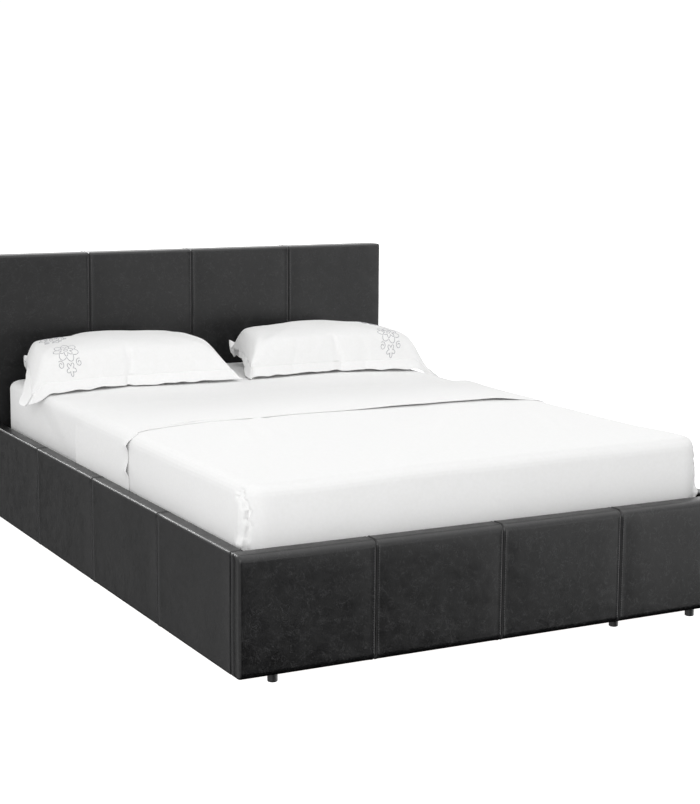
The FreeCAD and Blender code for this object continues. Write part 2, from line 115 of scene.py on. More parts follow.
def new_finish(name):
    """A material, its node tree, its surface shader and its place on the object."""
    finish = bpy.data.materials.new(name)
    finish.use_nodes = True
    tree = finish.node_tree
    place = add(tree, "TexCoord", {}, {}).outputs["Object"]
    return finish, tree, tree.nodes["Principled BSDF"], place


def new_object(name, shape, finish):
    """An object at the origin made of a bmesh, smooth shaded, in one finish."""
    mesh = bpy.data.meshes.new(name)
    shape.to_mesh(mesh)
    shape.free()
    mesh.materials.append(finish)
    mesh.shade_smooth()
    made = bpy.data.objects.new(name, mesh)
    scene.collection.objects.link(made)
    return made


floor_paint, tree, surface, _ = new_finish("studio_floor_paint")
wire(tree, surface, {
    "Base Color": floor_white, "Roughness": 0.95, "Specular IOR Level": 0.0, "Emission Color": "#ffffff",
    "Emission Strength": 1.0,
})
floor_shape = bmesh.new()
bmesh.ops.create_grid(floor_shape, x_segments=1, y_segments=1, size=floor_size)
studio_floor = new_object("studio_floor", floor_shape, floor_paint)
studio_floor.visible_glossy = False
studio_floor.visible_diffuse = False

sky = bpy.data.worlds.new("studio_sky")
scene.world = sky
sky.use_nodes = True
tree = sky.node_tree
place = add(tree, "TexCoord", {}, {})
heading = add(tree, "SeparateXYZ", {}, {"Vector": place.outputs["Generated"]})
slanted = add(tree, "Math", {"operation": "MULTIPLY_ADD"}, {
    0: heading.outputs["X"], 1: 0.6, 2: heading.outputs["Z"],
})
low_wall = add(tree, "MapRange", smooth, {
    "Value": slanted, "From Min": 0.1, "From Max": 0.27, "To Min": 0.0, "To Max": 3.6,
})
high_wall = add(tree, "MapRange", smooth, {
    "Value": heading.outputs["Z"], "From Min": 0.1, "From Max": 0.5, "To Min": 0.95, "To Max": 2.0,
})
above = add(tree, "MapRange", smooth, {"Value": heading.outputs["Z"], "From Min": 0.0, "From Max": 0.12})
wall = add(tree, "Mix", {"data_type": "FLOAT"}, {"Factor": above, "A": low_wall, "B": high_wall})
leftward = add(tree, "MapRange", smooth, {
    "Value": heading.outputs["X"], "From Min": -0.32, "From Max": -0.5, "To Min": 0.0, "To Max": 0.9,
})
mirrored = add(tree, "Math", {"operation": "MAXIMUM"}, {0: wall, 1: leftward})
rays = add(tree, "LightPath", {}, {})
glossy = add(tree, "Mix", {"data_type": "FLOAT"}, {
    "Factor": rays.outputs["Is Glossy Ray"], "A": sky_strength, "B": mirrored,
})
strength = add(tree, "Mix", {"data_type": "FLOAT"}, {
    "Factor": rays.outputs["Is Camera Ray"], "A": glossy, "B": 1.05,
})
wire(tree, tree.nodes["Background"], {"Color": "#ffffff", "Strength": strength})


def softbox(name, power, width, depth, place, target):
    """A rectangular diffused lamp that faces a point."""
    lamp = bpy.data.lights.new(name, "AREA")
    lamp.shape = "RECTANGLE"
    lamp.size = width
    lamp.size_y = depth
    lamp.energy = power
    lit = bpy.data.objects.new(name, lamp)
    scene.collection.objects.link(lit)
    facing = (Vector(target) - Vector(place)).to_track_quat("-Z", "Y")
    lit.matrix_world = Matrix.Translation(place) @ facing.to_matrix().to_4x4()


softbox("overhead_softbox", overhead_power, 4.4, 4.0, (1.1, -0.7, 3.5), (0.3, 0.0, 0.4))
softbox("front_softbox", front_power, 3.0, 3.0, (-4.2, -5.0, 2.6), (-0.3, -0.4, 0.4))
softbox("strip_lamp", strip_power, 3.0, 0.5, (-1.6, 6.0, 2.9), (-0.7, -0.4, 0.3))
scene.view_settings.view_transform = "Standard"


# Padded covers: headboard, footboard and two side rails
# Charcoal coated split leather pulled over foam and a timber core, folded round the back and stapled.
# Each cover is sewn from upright panels, with a topstitched fold at every seam.

cover_grid = 0.016
seam_steps = (0.0, 0.0012, 0.0026, 0.0045, 0.0068, 0.0095)
back_radius = 0.007
seam_depth = 0.0034
seam_width = 0.0019
seam_lip = 0.0009
lip_width = 0.0028
topstitch_from_seam = 0.0065
panel_crown = 0.0016
seam_fade = 0.025
edge_fade = 0.03
pucker_height = 0.0007
pucker_reach = 0.018
slack_height = 0.0009
stitch_pitch = 0.0062
stitch_length = 0.0044
stitch_width = 0.0013
needle_height = 0.05
leather_dark = "#070708"
leather_worn = "#101011"
leather_vein = "#58585a"

# Coated split leather: cheap hide split with an embossed polyurethane skin.
# It gives a dark, even, half-matt surface with a broad sheen, and pale hairlines where the skin has crazed.
coated_leather, tree, surface, place = new_finish("coated_split_leather")
drift = add(tree, "TexNoise", {}, {"Vector": place, "Scale": 3.2, "Detail": 3.0, "Roughness": 0.55})
mottle = add(tree, "TexNoise", {}, {"Vector": place, "Scale": 26.0, "Detail": 4.0, "Roughness": 0.6})
# The crazing follows the middle level of one noise, in cells about 20 mm across. Another says where it shows.
craze = add(tree, "TexNoise", {}, {
    "Vector": place, "Scale": 46.0, "Detail": 4.0, "Roughness": 0.66, "Distortion": 0.9,
})
craze_off = add(tree, "Math", {"operation": "SUBTRACT"}, {0: craze, 1: 0.5})
craze_line = add(tree, "Math", {"operation": "ABSOLUTE"}, {0: craze_off})
craze_thin = add(tree, "MapRange", smooth, {
    "Value": craze_line, "From Min": 0.0, "From Max": 0.018, "To Min": 1.0, "To Max": 0.0,
})
patches = add(tree, "TexNoise", {}, {"Vector": place, "Scale": 30.0, "Detail": 2.0, "Roughness": 0.7})
patch_share = add(tree, "MapRange", smooth, {
    "Value": patches, "From Min": 0.36, "From Max": 0.62, "To Min": 0.12, "To Max": 1.0,
})
vein = add(tree, "Math", {"operation": "MULTIPLY"}, {0: craze_thin, 1: patch_share})
tone = add(tree, "MapRange", {}, {
    "Value": drift, "From Min": 0.3, "From Max": 0.7, "To Min": 0.0, "To Max": 0.6,
})
tone_fine = add(tree, "Math", {"operation": "MULTIPLY_ADD", "use_clamp": True}, {0: mottle, 1: 0.5, 2: tone})
skin = add(tree, "Mix", colours, {0: tone_fine, 6: leather_dark, 7: leather_worn})
vein_share = add(tree, "Math", {"operation": "MULTIPLY"}, {0: vein, 1: 0.2})
skin_veined = add(tree, "Mix", colours, {0: vein_share, 6: skin, 7: leather_vein})
gloss = add(tree, "MapRange", {}, {
    "Value": mottle, "From Min": 0.3, "From Max": 0.7, "To Min": 0.31, "To Max": 0.43,
})
# The embossed pebble is about 1 mm across, drawn 2.5 mm so that it shows.
pebble = add(tree, "TexVoronoi", {"feature": "SMOOTH_F1"}, {
    "Vector": place, "Scale": 400.0, "Smoothness": 0.6,
})
grain = add(tree, "Bump", {}, {"Strength": 0.22, "Distance": 0.0004, "Height": pebble})
crease = add(tree, "Bump", {"invert": True}, {
    "Strength": 0.25, "Distance": 0.0005, "Height": vein, "Normal": grain,
})
give = add(tree, "Bump", {}, {"Strength": 0.3, "Distance": 0.0014, "Height": mottle, "Normal": crease})
wire(tree, surface, {
    "Base Color": skin_veined, "Roughness": gloss, "IOR": 1.5, "Specular IOR Level": 0.4, "Normal": give,
})

# Bonded polyester sewing thread: matt charcoal, a shade lighter than the leather.
sewing_thread, tree, surface, place = new_finish("bonded_polyester_thread")
twist = add(tree, "TexNoise", {}, {"Vector": place, "Scale": 900.0})
strand = add(tree, "Mix", colours, {0: twist, 6: "#2c2c2e", 7: "#5a5a5c"})
wire(tree, surface, {"Base Color": strand, "Roughness": 0.6})


def roll_edges(block, edges, radius, segments):
    """Rounds some edges of a block."""
    bmesh.ops.bevel(
        block, geom=edges, offset=radius, offset_type="OFFSET", segments=segments,
        profile=0.5, affect="EDGES", material=-1,
    )


def on_axis(axis, length):
    """A vector along one axis."""
    return Vector([length if i == axis else 0.0 for i in range(3)])


def shift_all(moves):
    """Moves each vertex by the offset that was worked out for it."""
    for vert, move in moves:
        vert.co += move


def plain_block(low, high):
    """A box between two corners."""
    block = bmesh.new()
    bmesh.ops.create_cube(block, size=1.0)
    bmesh.ops.scale(block, vec=high - low, verts=block.verts)
    bmesh.ops.translate(block, vec=(low + high) / 2, verts=block.verts)
    return block


def rolled_block(low, high, axis, radius, end_radius):
    """A closed block with its long edges rolled, as leather turns round foam, and its ends turned tighter.

    A board's back edges are rolled tighter too, where the leather is pulled over the core and stapled.
    """
    shorter = on_axis(axis, end_radius)
    block = plain_block(low + shorter, high - shorter)
    long_edges = [e for e in block.edges if abs(e.verts[0].co[axis] - e.verts[1].co[axis]) > 0.01]
    middle = (low.y + high.y) / 2
    roll_edges(block, [e for e in long_edges if axis == 1 or e.verts[0].co.y < middle], radius, 6)
    if axis == 0:
        long_edges = [e for e in block.edges if abs(e.verts[0].co.x - e.verts[1].co.x) > 0.01]
        back_edges = [e for e in long_edges if all(v.co.y > high.y - 1e-5 for v in e.verts)]
        roll_edges(block, back_edges, back_radius, 4)
    caps = [f for f in block.faces if abs(f.normal[axis]) > 0.9]
    turns = 4
    for step in range(turns):
        before, after = math.pi / 2 * step / turns, math.pi / 2 * (step + 1) / turns
        bmesh.ops.inset_region(
            block, faces=caps, thickness=end_radius * (math.cos(before) - math.cos(after)),
            depth=end_radius * (math.sin(after) - math.sin(before)), use_even_offset=True, use_boundary=True,
        )
    return block


def slice_across(block, axis, places):
    """Cuts the whole mesh square to one axis at each place."""
    for spot in places:
        bmesh.ops.bisect_plane(
            block, geom=block.verts[:] + block.edges[:] + block.faces[:],
            dist=1e-6, plane_co=on_axis(axis, spot), plane_no=on_axis(axis, 1.0),
        )


def even_places(low, high, step, seams=()):
    """Evenly spaced cuts between two ends, with closer ones at both ends and each side of every seam."""
    count = max(2, round((high - low) / step))
    spaced = [low + (high - low) * i / count for i in range(1, count)]
    spaced += [low + 0.0012, low + 0.004, high - 0.004, high - 0.0012]
    kept = [p for p in spaced if all(abs(p - s) > seam_steps[-1] + 0.002 for s in seams)]
    near = [s + side * d for s in seams for d in seam_steps for side in ((1, -1) if d else (1,))]
    return sorted(kept + near)


def sew_panels(block, low, high, axis, seams, crown, end_seam=None):
    """Pulls the skin in at each seam, puckers it beside them and plumps the panels between them."""
    block.normal_update()
    pulls = []
    for vert in block.verts:
        spot, out = vert.co, vert.normal
        beside = min(abs(spot[axis] - s) for s in seams)
        across = 1.0 - abs(out[axis])
        fold = seam_depth * math.exp(-((beside / seam_width) ** 2))
        fold -= seam_lip * math.exp(-(((beside - topstitch_from_seam * 0.75) / lip_width) ** 2))
        pull = fold * across
        if end_seam is not None and abs(out[axis]) > 0.9:
            from_end = abs(spot[1] - end_seam)
            pull += seam_depth * math.exp(-((from_end / seam_width) ** 2))
        edge = min(spot[axis] - low[axis], high[axis] - spot[axis], beside)
        rim = min(spot.z - low.z, high.z - spot.z)
        pull -= crown * (1.0 - math.exp(-edge / seam_fade)) * (1.0 - math.exp(-rim / edge_fade))
        pucker = noise.noise(spot * 55.0) * pucker_height * math.exp(-beside / pucker_reach)
        slack = noise.noise(spot * 6.0 + Vector((3.1, 0.0, 7.7))) * slack_height * min(1.0, rim / edge_fade)
        if axis == 0 and out.y > 0.7:
            # A board's back is flat under its lining.
            pull, pucker, slack = 0.0004, 0.0, 0.0
        if axis == 1 and out.x * spot.x < 0 and abs(out.x) > 0.5:
            # A rail's inner face has hardly any foam.
            pull, pucker, slack = min(pull, 0.0009), pucker * 0.3, slack * 0.3
        pulls.append((vert, out * -(pull + pucker + slack)))
    shift_all(pulls)


def surface_tree(mesh):
    """A mesh's surface, for dropping points onto."""
    faces = [list(p.vertices) for p in mesh.polygons]
    return BVHTree.FromPolygons([v.co.copy() for v in mesh.vertices], faces)


def topstitch(name, cover, axis, seams, faces):
    """Two rows of stitches beside each seam.

    Each face is given as its outward axis, its sign, where the row starts and ends, the axis that the row
    runs along, and the face's level.
    """
    skin_tree = surface_tree(cover.data)
    rows = bmesh.new()
    for seam in seams:
        for side in (-1, 1):
            for out_axis, sign, start, end, run_axis, level in faces:
                count = int((end - start) / stitch_pitch)
                for i in range(count):
                    origin = on_axis(axis, seam + side * topstitch_from_seam)
                    origin[run_axis] = start + (i + 0.5) * stitch_pitch
                    origin[out_axis] = level + sign * needle_height
                    inward = on_axis(out_axis, -sign)
                    hit, facing, _, _ = skin_tree.ray_cast(origin, inward, 2.4 * needle_height)
                    if hit is None:
                        continue
                    run = on_axis(run_axis, 1.0)
                    run = (run - facing * run.dot(facing)).normalized()
                    turn = Matrix((run.cross(facing), facing, run)).transposed().to_4x4()
                    size = Matrix.Diagonal((stitch_width, stitch_width, stitch_length, 1.0))
                    bmesh.ops.create_icosphere(
                        rows, subdivisions=1, radius=0.5, matrix=Matrix.Translation(hit) @ turn @ size
                    )
    stitches = new_object(name, rows, sewing_thread)
    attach(stitches, "bedstead")


def padded_cover(name, low, high, radius, end_radius, axis, seams, crown, end_seam=None):
    """One cover: rolled block, cut fine enough to take its seams, then sewn and crowned."""
    block = rolled_block(low, high, axis, radius, end_radius)
    for cut_axis in range(3):
        cuts = []
        if cut_axis == axis:
            cuts = even_places(low[axis] + end_radius, high[axis] - end_radius, cover_grid, seams)
        elif end_seam is not None and cut_axis == 1:
            cuts = [end_seam + side * d for d in seam_steps[:4] for side in (-1, 1)]
        elif high[cut_axis] - low[cut_axis] > 0.1:
            cuts = even_places(low[cut_axis] + radius, high[cut_axis] - radius, cover_grid)
        slice_across(block, cut_axis, cuts)
    sew_panels(block, low, high, axis, seams, crown, end_seam)
    cover = new_object(name, block, coated_leather)
    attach(cover, "bedstead")
    return cover


# Headboard and footboard: four equal panels each, with their back edges folded under the dust linings.
# The footboard has a thicker roll along its top, and an upright seam at each end.
back_fold = Vector((0.0, 0.0015, 0.0))
boards = [
    # board, edge roll, end roll, crown, stitching stops below the top and on it, end seam from the front
    ("headboard", 0.009, 0.006, panel_crown, 0.014, 0.014, None),
    ("footboard", 0.017, 0.008, panel_crown * 1.5, 0.020, 0.018, 0.0345),
]
for board, radius, end_radius, crown, below_top, on_top, end_seam in boards:
    low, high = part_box(board + "_cover")
    seams = [low.x + (high.x - low.x) * share for share in (0.25, 0.5, 0.75)]
    board_skin = padded_cover(
        board + "_padding", low, high - back_fold, radius, end_radius, 0, seams, crown,
        None if end_seam is None else low.y + end_seam,
    )
    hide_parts(board + "_cover")
    topstitch(board + "_topstitch", board_skin, 0, seams, [
        (1, -1, low.z + 0.02, high.z - below_top, 2, low.y),
        (2, 1, low.y + on_top, high.y - on_top, 1, high.z),
    ])

# Side rails: panels as wide as the footboard's would be, cut short at both ends
rail_seams = [-0.5235, -0.0295, 0.4645]
rail_roll = 0.007
rail_end_roll = 0.003
turned_end = Vector((0.0, 0.0006, 0.0))
for side, sign in (("left", -1), ("right", 1)):
    low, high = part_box(side + "_rail_cover")
    rail_skin = padded_cover(
        side + "_rail_padding", low - turned_end, high + turned_end, rail_roll, rail_end_roll,
        1, rail_seams, panel_crown,
    )
    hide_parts(side + "_rail_cover")
    topstitch(side + "_rail_topstitch", rail_skin, 1, rail_seams, [
        (0, sign, low.z + 0.014, high.z - 0.01, 2, low.x if sign < 0 else high.x),
        (2, 1, low.x + 0.009, high.x - 0.009, 0, high.z),
    ])


# Timber cores
# Planed softwood frames faced with board, wholly inside the covers.

# Planed pine: pale yellow softwood with a straight grain, dry and unfinished.
planed_pine, tree, surface, place = new_finish("planed_pine")
along = add(tree, "Mapping", {}, {"Vector": place, "Scale": (6.0, 6.0, 90.0)})
grain = add(tree, "TexNoise", {}, {"Vector": along, "Scale": 1.0, "Detail": 5.0})
wood = add(tree, "Mix", colours, {0: grain, 6: "#cfae7c", 7: "#e2c795"})
wire(tree, surface, {"Base Color": wood, "Roughness": 0.75})


def finish_nodes(finish, *names):
    """Gives CAD parts their finish."""
    for name in names:
        mesh = nodes[name].data
        mesh.materials.clear()
        mesh.materials.append(finish)


finish_nodes(planed_pine, "headboard_core", "footboard_core", "left_rail_core", "right_rail_core")


# Dust linings
# Black spunbonded cloth over the back of each board, cut to size, turned under at its edge and stapled.

lining_wave = 0.0008
staple_pitch = 0.085
staple_from_edge = 0.012
staple_size = Vector((0.0105, 0.0009, 0.0011))
lining_thickness = 0.0005

# Spunbonded polypropylene: a thin felted web of melted fibre, matt, faintly dimpled every 2 mm.
spunbond, tree, surface, place = new_finish("spunbonded_polypropylene")
dimples = add(tree, "TexVoronoi", {"feature": "F1"}, {"Vector": place, "Scale": 420.0, "Randomness": 0.35})
fibres = add(tree, "TexNoise", {}, {"Vector": place, "Scale": 260.0, "Detail": 4.0})
web = add(tree, "Mix", colours, {0: fibres, 6: "#101011", 7: "#2a2a2b"})
pressed = add(tree, "Bump", {}, {"Strength": 0.4, "Distance": 0.0003, "Height": dimples})
wire(tree, surface, {"Base Color": web, "Roughness": 0.9, "Normal": pressed})

# Bright zinc-plated steel: blue-white plating on stamped and drawn parts, with soft cloudy patches.
zinc_steel, tree, surface, place = new_finish("zinc_plated_steel")
cloud = add(tree, "TexNoise", {}, {"Vector": place, "Scale": 70.0, "Detail": 3.0})
plating = add(tree, "Mix", colours, {0: cloud, 6: "#a4a9ad", 7: "#cfd3d6"})
dull = add(tree, "MapRange", {}, {"Value": cloud, "To Min": 0.26, "To Max": 0.46})
wire(tree, surface, {"Base Color": plating, "Metallic": 1.0, "Roughness": dull})


def thicken(piece, thickness):
    """Gives a cloth its thickness."""
    piece.modifiers.new("cloth_thickness", "SOLIDIFY").thickness = thickness


for board in ("headboard", "footboard"):
    low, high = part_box(board + "_lining")
    outside = high.y
    cloth = bmesh.new()
    bmesh.ops.create_grid(cloth, x_segments=70, y_segments=30, size=0.5)
    bmesh.ops.scale(cloth, vec=(high.x - low.x, high.z - low.z, 1.0), verts=cloth.verts)
    bmesh.ops.rotate(cloth, matrix=Matrix.Rotation(math.pi / 2, 3, "X"), verts=cloth.verts)
    middle = ((low.x + high.x) / 2, outside - 0.0012, (low.z + high.z) / 2)
    bmesh.ops.translate(cloth, vec=middle, verts=cloth.verts)
    for vert in cloth.verts:
        held = min(vert.co.x - low.x, high.x - vert.co.x, vert.co.z - low.z, high.z - vert.co.z)
        slack = min(1.0, held / 0.05) * noise.noise(vert.co * 9.0)
        vert.co.y += slack * lining_wave
    bmesh.ops.recalc_face_normals(cloth, faces=cloth.faces)
    lining = new_object(board + "_dust_lining", cloth, spunbond)
    thicken(lining, lining_thickness)
    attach(lining, "bedstead")
    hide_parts(board + "_lining")
    staples = bmesh.new()
    edge = staple_from_edge
    spots = []
    across = int((high.x - low.x - 2 * edge) / staple_pitch)
    for i in range(across + 1):
        x = low.x + edge + (high.x - low.x - 2 * edge) * i / across
        spots += [(x, low.z + edge), (x, high.z - edge)]
    upward = int((high.z - low.z - 2 * edge) / staple_pitch)
    for i in range(1, upward):
        z = low.z + edge + (high.z - low.z - 2 * edge) * i / upward
        spots += [(low.x + edge, z), (high.x - edge, z)]
    for x, z in spots:
        tip = noise.noise(Vector((x * 40.0, z * 40.0, 0.0))) * 0.7
        place_it = Matrix.Translation((x, outside - 0.0002, z)) @ Matrix.Rotation(tip, 4, "Y")
        bmesh.ops.create_cube(staples, size=1.0, matrix=place_it @ Matrix.Diagonal((*staple_size, 1.0)))
    wires = new_object(board + "_lining_staples", staples, zinc_steel)
    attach(wires, "bedstead")


# Fixed parts inside the bedstead
# Corner brackets, bolts, ledges, floor beams, the hardboard storage floor and the moulded glides.

# Hardboard: pressed wood fibre, brown, with a slightly glossy smooth face and dark flecks.
hardboard, tree, surface, place = new_finish("smooth_faced_hardboard")
flecks = add(tree, "TexNoise", {}, {"Vector": place, "Scale": 300.0, "Detail": 5.0, "Roughness": 0.7})
broad = add(tree, "TexNoise", {}, {"Vector": place, "Scale": 7.0, "Detail": 2.0})
fleck_share = add(tree, "Math", {"operation": "MULTIPLY_ADD"}, {0: broad, 1: 0.4, 2: flecks})
fibre = add(tree, "MapRange", {}, {"Value": fleck_share, "From Min": 0.45, "From Max": 0.95})
board_brown = add(tree, "Mix", colours, {0: fibre, 6: "#5a3d26", 7: "#8d6a47"})
wire(tree, surface, {"Base Color": board_brown, "Roughness": 0.5})
finish_nodes(hardboard, "floor_panel_foot", "floor_panel_head")
finish_nodes(planed_pine, "floor_beam_foot", "floor_beam_middle", "floor_beam_head")
finish_nodes(planed_pine, "left_support_ledge", "right_support_ledge", "foot_support_ledge")
finish_nodes(zinc_steel, "corner_brackets", "corner_bolts")

# Moulded polypropylene: black, half-matt, with the fine spark texture of its mould.
moulded_plastic, tree, surface, place = new_finish("moulded_polypropylene")
spark = add(tree, "TexNoise", {}, {"Vector": place, "Scale": 700.0, "Detail": 2.0})
scuff = add(tree, "TexNoise", {}, {"Vector": place, "Scale": 45.0, "Detail": 3.0})
resin = add(tree, "Mix", colours, {0: scuff, 6: "#0d0d0e", 7: "#1d1d1e"})
spark_bump = add(tree, "Bump", {}, {"Strength": 0.3, "Distance": 0.0002, "Height": spark})
wire(tree, surface, {"Base Color": resin, "Roughness": 0.45, "Normal": spark_bump})
finish_nodes(moulded_plastic, "glides")


# Lift linkage and gas struts
# Pressed steel arms and links on riveted studs, with a painted strut body and a chromed rod each side.

# Black powder coat: thick baked polyester over steel, half-gloss with a soft orange-peel ripple.
powder_coat, tree, surface, place = new_finish("black_powder_coat")
peel = add(tree, "TexNoise", {}, {"Vector": place, "Scale": 330.0, "Detail": 2.0})
haze = add(tree, "TexNoise", {}, {"Vector": place, "Scale": 12.0, "Detail": 3.0})
coat = add(tree, "Mix", colours, {0: haze, 6: "#121213", 7: "#212123"})
coat_gloss = add(tree, "MapRange", {}, {"Value": haze, "To Min": 0.28, "To Max": 0.48})
ripple = add(tree, "Bump", {}, {"Strength": 0.25, "Distance": 0.0004, "Height": peel})
wire(tree, surface, {"Base Color": coat, "Roughness": coat_gloss, "Normal": ripple})

# Hard chrome on a ground steel rod: a bright mirror with the finest lengthwise grinding haze.
chrome_rod, tree, surface, place = new_finish("hard_chromed_steel")
ground = add(tree, "TexNoise", {}, {"Vector": place, "Scale": 500.0, "Detail": 2.0})
mirror = add(tree, "MapRange", {}, {"Value": ground, "To Min": 0.06, "To Max": 0.16})
wire(tree, surface, {"Roughness": mirror, "Base Color": "#dcdee0", "Metallic": 1.0})
zinc_parts = (
    "hinge_bracket", "hinge_pins", "strut_bracket", "arm_stud",
    "guide_rivet", "lift_pin", "guide_link", "lift_bracket",
)
for side in ("left_", "right_"):
    finish_nodes(zinc_steel, *[side + part for part in zinc_parts])
    finish_nodes(powder_coat, side + "lift_arm", side + "strut_cylinder", side + "side_tube")
    finish_nodes(chrome_rod, side + "strut_rod")


# Lifting base
# A welded tube frame with sprung slats held in moulded end caps, and a hoop that stops the mattress sliding.

# Beech laminate slats: thin veneers pressed under heat, pale pink-brown with short dark flecks.
beech_laminate, tree, surface, place = new_finish("beech_laminate")
along = add(tree, "Mapping", {}, {"Vector": place, "Scale": (9.0, 260.0, 260.0)})
pores = add(tree, "TexNoise", {}, {"Vector": along, "Scale": 1.0, "Detail": 4.0, "Roughness": 0.7})
board_tone = add(tree, "TexNoise", {}, {"Vector": place, "Scale": 5.0, "Detail": 1.0})
pore_share = add(tree, "MapRange", {}, {"Value": pores, "From Min": 0.35, "From Max": 0.7})
veneer = add(tree, "Mix", colours, {0: pore_share, 6: "#b98d60", 7: "#dcb98c"})
shade = add(tree, "MapRange", {}, {"Value": board_tone, "To Min": 0.75, "To Max": 1.1})
veneer_shaded = add(tree, "VectorMath", {"operation": "SCALE"}, {0: veneer, "Scale": shade})
wire(tree, surface, {"Base Color": veneer_shaded, "Roughness": 0.5, "Coat Weight": 0.15})
finish_nodes(beech_laminate, "slats")
finish_nodes(powder_coat, "foot_tube", "head_tube", "centre_tube", "mattress_stop")
finish_nodes(moulded_plastic, "left_slat_seats", "right_slat_seats", "centre_slat_pads")

# Pull strap: a loop of polypropylene webbing riveted to the foot tube
# The lifter's hand pulls on it, and it lies flat against the bedding when the bed is shut.
strap_low, strap_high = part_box("pull_strap")
strap_thickness = 0.0018

# Woven webbing: flat black ribs 2 mm apart across the strap, with a dull plastic sheen.
webbing, tree, surface, place = new_finish("polypropylene_webbing")
ribs = add(tree, "TexWave", {"bands_direction": "Z"}, {"Vector": place, "Scale": 157.0, "Distortion": 0.4})
wefts = add(tree, "TexWave", {"bands_direction": "X"}, {"Vector": place, "Scale": 230.0})
weave_height = add(tree, "Math", {"operation": "ADD"}, {0: ribs.outputs["Fac"], 1: wefts.outputs["Fac"]})
# Painted shade: the colour runs from dark in the hollows between ribs to lighter on the rib crests.
ribs_painted_shade = add(tree, "Mix", colours, {0: ribs.outputs["Fac"], 6: "#0c0c0d", 7: "#2b2b2d"})
woven = add(tree, "Bump", {}, {"Strength": 0.6, "Distance": 0.0006, "Height": weave_height})
wire(tree, surface, {"Base Color": ribs_painted_shade, "Roughness": 0.55, "Normal": woven})

strap = bmesh.new()
bmesh.ops.create_grid(strap, x_segments=6, y_segments=1, size=0.5)
bmesh.ops.scale(strap, vec=(strap_high.x - strap_low.x, 0.001, 1.0), verts=strap.verts)
bmesh.ops.translate(strap, vec=(0.0, strap_high.y - 0.003, strap_low.z + 0.001), verts=strap.verts)
back_edges = [e for e in strap.edges if all(v.co.y < strap_high.y - 0.0032 for v in e.verts)]
front_y = strap_low.y + 0.001
route = [(0.0, -0.002, 0.0), (0.0, front_y + 0.002 - (strap_high.y - 0.0055), 0.0), (0.0, -0.002, 0.002)]
route += [(0.0, 0.0, (strap_high.z - strap_low.z - 0.006) / 14)] * 14
for step in route:
    grown = bmesh.ops.extrude_edge_only(strap, edges=back_edges)["geom"]
    bmesh.ops.translate(strap, vec=step, verts=[g for g in grown if isinstance(g, bmesh.types.BMVert)])
    back_edges = [g for g in grown if isinstance(g, bmesh.types.BMEdge)]
for vert in strap.verts:
    rise = (vert.co.z - strap_low.z) / (strap_high.z - strap_low.z)
    vert.co.y += 0.0009 * math.sin(rise * 9.0) * rise
bmesh.ops.recalc_face_normals(strap, faces=strap.faces)
bmesh.ops.solidify(strap, geom=strap.faces[:], thickness=strap_thickness)
bmesh.ops.recalc_face_normals(strap, faces=strap.faces)
pull_loop = new_object("pull_strap_webbing", strap, webbing)
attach(pull_loop, "lift_base")
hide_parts("pull_strap")


# Mattress
# An open-coil mattress, 1350 by 1900 mm, in a quilted ticking case; only its underside shows.

bed_low, bed_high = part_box("mattress")
sheet_room = 0.0022
corner_radius = 0.058
top_radius = 0.024

# Damask ticking: off-white woven cotton and viscose, quilted in diamonds 75 mm across.
ticking, tree, surface, place = new_finish("quilted_damask_ticking")
turned = add(tree, "Mapping", {}, {"Vector": place, "Rotation": (0.0, 0.0, math.pi / 4)})
quilt = add(tree, "TexVoronoi", {"feature": "DISTANCE_TO_EDGE"}, {
    "Vector": turned, "Scale": 13.3, "Randomness": 0.0,
})
puff = add(tree, "MapRange", smooth, {"Value": quilt, "From Max": 0.3})
damask = add(tree, "TexNoise", {}, {"Vector": place, "Scale": 45.0, "Detail": 2.0})
figure = add(tree, "MapRange", {"interpolation_type": "STEPPED"}, {"Value": damask, "Steps": 2.0})
cloth_tone = add(tree, "Mix", colours, {0: figure, 6: "#dedbd2", 7: "#ebe9e2"})
quilted = add(tree, "Bump", {}, {"Strength": 0.7, "Distance": 0.006, "Height": puff})
wire(tree, surface, {"Base Color": cloth_tone, "Roughness": 0.8, "Normal": quilted})


def bed_block(low, high, corner, edge, open_head=False):
    """A mattress-shaped block with rounded uprights and top edge, square at the head where cloth runs on."""
    block = plain_block(low, high)
    uprights = [e for e in block.edges if abs(e.verts[0].co.z - e.verts[1].co.z) > 0.01]
    if open_head:
        uprights = [e for e in uprights if e.verts[0].co.y < high.y - 1e-5]
    roll_edges(block, uprights, corner, 8)
    rim = [e for e in block.edges if all(v.co.z > high.z - 1e-5 for v in e.verts)]
    if open_head:
        rim = [e for e in rim if not all(v.co.y > high.y - 1e-5 for v in e.verts)]
    roll_edges(block, rim, edge, 5)
    return block


inside = Vector((sheet_room, sheet_room, 0.0))
mattress_shape = bed_block(
    bed_low + inside + Vector((0.0, 0.0, sheet_room)), bed_high - inside - Vector((0.0, 0.0, sheet_room)),
    corner_radius, top_radius,
)
mattress = new_object("quilted_mattress", mattress_shape, ticking)
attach(mattress, "lift_base")
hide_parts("mattress")


# Fitted sheet
# White cotton percale stretched over the mattress, its elasticated hem gathered 90 mm in underneath.

cloth_grid = 0.014
sheet_thickness = 0.0008
underneath = 0.09

